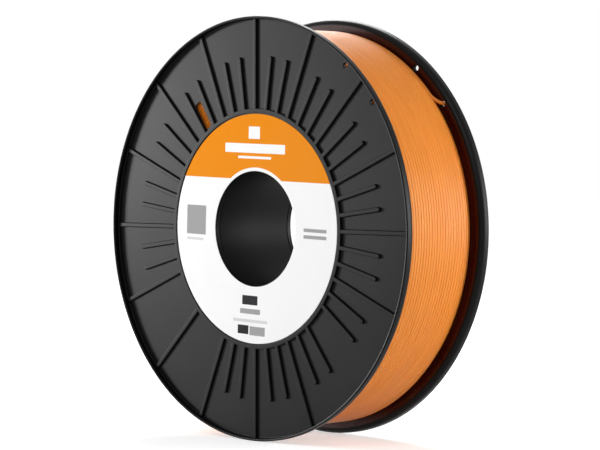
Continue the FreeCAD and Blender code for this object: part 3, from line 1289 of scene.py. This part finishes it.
@dataclass
class Studio:
    """Camera, floor, backdrop and lamps."""

    azimuth: float = 46.3
    elevation: float = 1.8
    distance: float = 1.2
    focal_pixels: float = 2550.0
    centre_pixel: tuple[float, float] = (251.3, 229.0)
    image: tuple[int, int] = (600, 450)
    sensor: float = 36.0
    clip: tuple[float, float] = (0.05, 50.0)
    floor_z: float = -0.1
    floor_size: float = 4.0
    floor_colour: Colour = (0.82, 0.82, 0.82, 1.0)
    floor_roughness: float = 0.9
    ambient: float = 0.27
    glow_reach: tuple[float, float] = (0.3, 2.5)
    glow_level: tuple[float, float] = (0.48, 0.83)
    lamps: tuple[Lamp, ...] = (
        Lamp("key", -64.0, 4.6, 1.16, 0.2, 0.2, 11.6),
        Lamp("fill", 127.0, 7.0, 1.2, 0.45, 0.45, 10.5),
        Lamp("back", -132.0, 42.0, 1.2, 0.5, 0.5, 9.0),
        Lamp("front", 25.0, 35.0, 1.2, 0.5, 0.5, 3.2),
    )

    def camera(self) -> None:
        """Adds the camera at the photograph's angle, aimed past the centre of the front rim."""
        out = outward(self.azimuth, self.elevation)
        width, height = self.image
        data = bpy.data.cameras.new("camera")
        data.sensor_width = self.sensor
        data.lens = self.focal_pixels * self.sensor / width
        data.shift_x = (width / 2 - self.centre_pixel[0]) / width
        data.shift_y = (self.centre_pixel[1] - height / 2) / width
        data.clip_start, data.clip_end = self.clip
        place = out * self.distance - Y_AXIS * FlangeSizes().half_width
        bpy.context.scene.camera = aimed("camera", data, place, out)

    @staticmethod
    def seen(sketch: NodeSketch) -> NodeSocket:
        """Mask of the rays that see the backdrop itself.

        Args:
            sketch: the tree's sketch.

        Returns:
            The mask's socket.
        """
        path = sketch.add("ShaderNodeLightPath").outputs
        both = sketch.math("MAXIMUM", path["Is Camera Ray"], path["Is Glossy Ray"])
        return sketch.math("MAXIMUM", both, path["Is Transmission Ray"])

    def world(self) -> None:
        """Sets the world: white where it is seen, and a plain pale light elsewhere."""
        world = bpy.data.worlds.new("backdrop")
        world.use_nodes = True
        sketch = NodeSketch(world.node_tree)
        shade = world.node_tree.nodes["Background"]
        shade.inputs["Color"].default_value = (1.0, 1.0, 1.0, 1.0)
        strength = sketch.add("ShaderNodeMapRange")
        sketch.feed(strength.inputs[0], self.seen(sketch))
        strength.inputs[3].default_value = self.ambient
        strength.inputs[4].default_value = 1.0
        sketch.feed(shade.inputs["Strength"], strength.outputs[0])
        bpy.context.scene.world = world

    def floor(self) -> None:
        """Adds the pale floor, which keeps a soft shadow of the object."""
        bm = bmesh.new()
        bmesh.ops.create_grid(bm, x_segments=1, y_segments=1, size=self.floor_size)
        bmesh.ops.translate(bm, verts=bm.verts, vec=(0.0, 0.0, self.floor_z))
        obj = to_object(bm, "floor")
        material, sketch, shader, place = new_material("pale_floor")
        shader.inputs["Base Color"].default_value = self.floor_colour
        shader.inputs["Roughness"].default_value = self.floor_roughness
        glow = sketch.add("ShaderNodeEmission")
        reach = sketch.add("ShaderNodeVectorMath", operation="LENGTH")
        sketch.feed(reach.inputs[0], place)
        level = sketch.span(reach.outputs["Value"], *self.glow_reach, *self.glow_level)
        sketch.feed(glow.inputs["Strength"], sketch.math("MULTIPLY", self.seen(sketch), level))
        both = sketch.add("ShaderNodeAddShader")
        sketch.feed(both.inputs[0], shader.outputs[0])
        sketch.feed(both.inputs[1], glow.outputs[0])
        sketch.feed(material.node_tree.nodes["Material Output"].inputs["Surface"], both.outputs[0])
        obj.data.materials.append(material)

    def build(self) -> None:
        """Builds the whole studio."""
        self.camera()
        self.world()
        self.floor()
        for lamp in self.lamps:
            lamp.build()
        bpy.context.scene.view_settings.view_transform = "Standard"


def main() -> None:
    """Builds the studio and every piece."""
    logging.basicConfig(level=logging.INFO, format="%(name)s: %(message)s")
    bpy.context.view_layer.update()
    Studio().build()
    dresser = Dresser()
    front, rear = Flange().build()
    dresser.dress(front, Finish.PLASTIC, "front_flange")
    dresser.dress(rear, Finish.PLASTIC, "rear_flange")
    sleeve, drum = Core().build()
    dresser.dress(sleeve, Finish.TUBE, "bore_sleeve")
    dresser.dress(drum, Finish.TUBE, "winding_drum")
    dresser.dress(Label().build(), Finish.LABEL, "front_label")
    winding = Winding()
    dresser.dress(winding.outer_layer(), Finish.FILAMENT, "outer_turns")
    dresser.dress(winding.bed(), Finish.FILAMENT)
    dresser.dress(winding.side("winding_side_front", -1.0), Finish.FILAMENT)
    dresser.dress(winding.side("winding_side_rear", 1.0), Finish.FILAMENT)
    dresser.dress(winding.body(), Finish.FILAMENT, "wound_filament")
    dresser.dress(winding.inner_end(), Finish.FILAMENT, "inner_end")


if __name__ == "__main__":
    main()
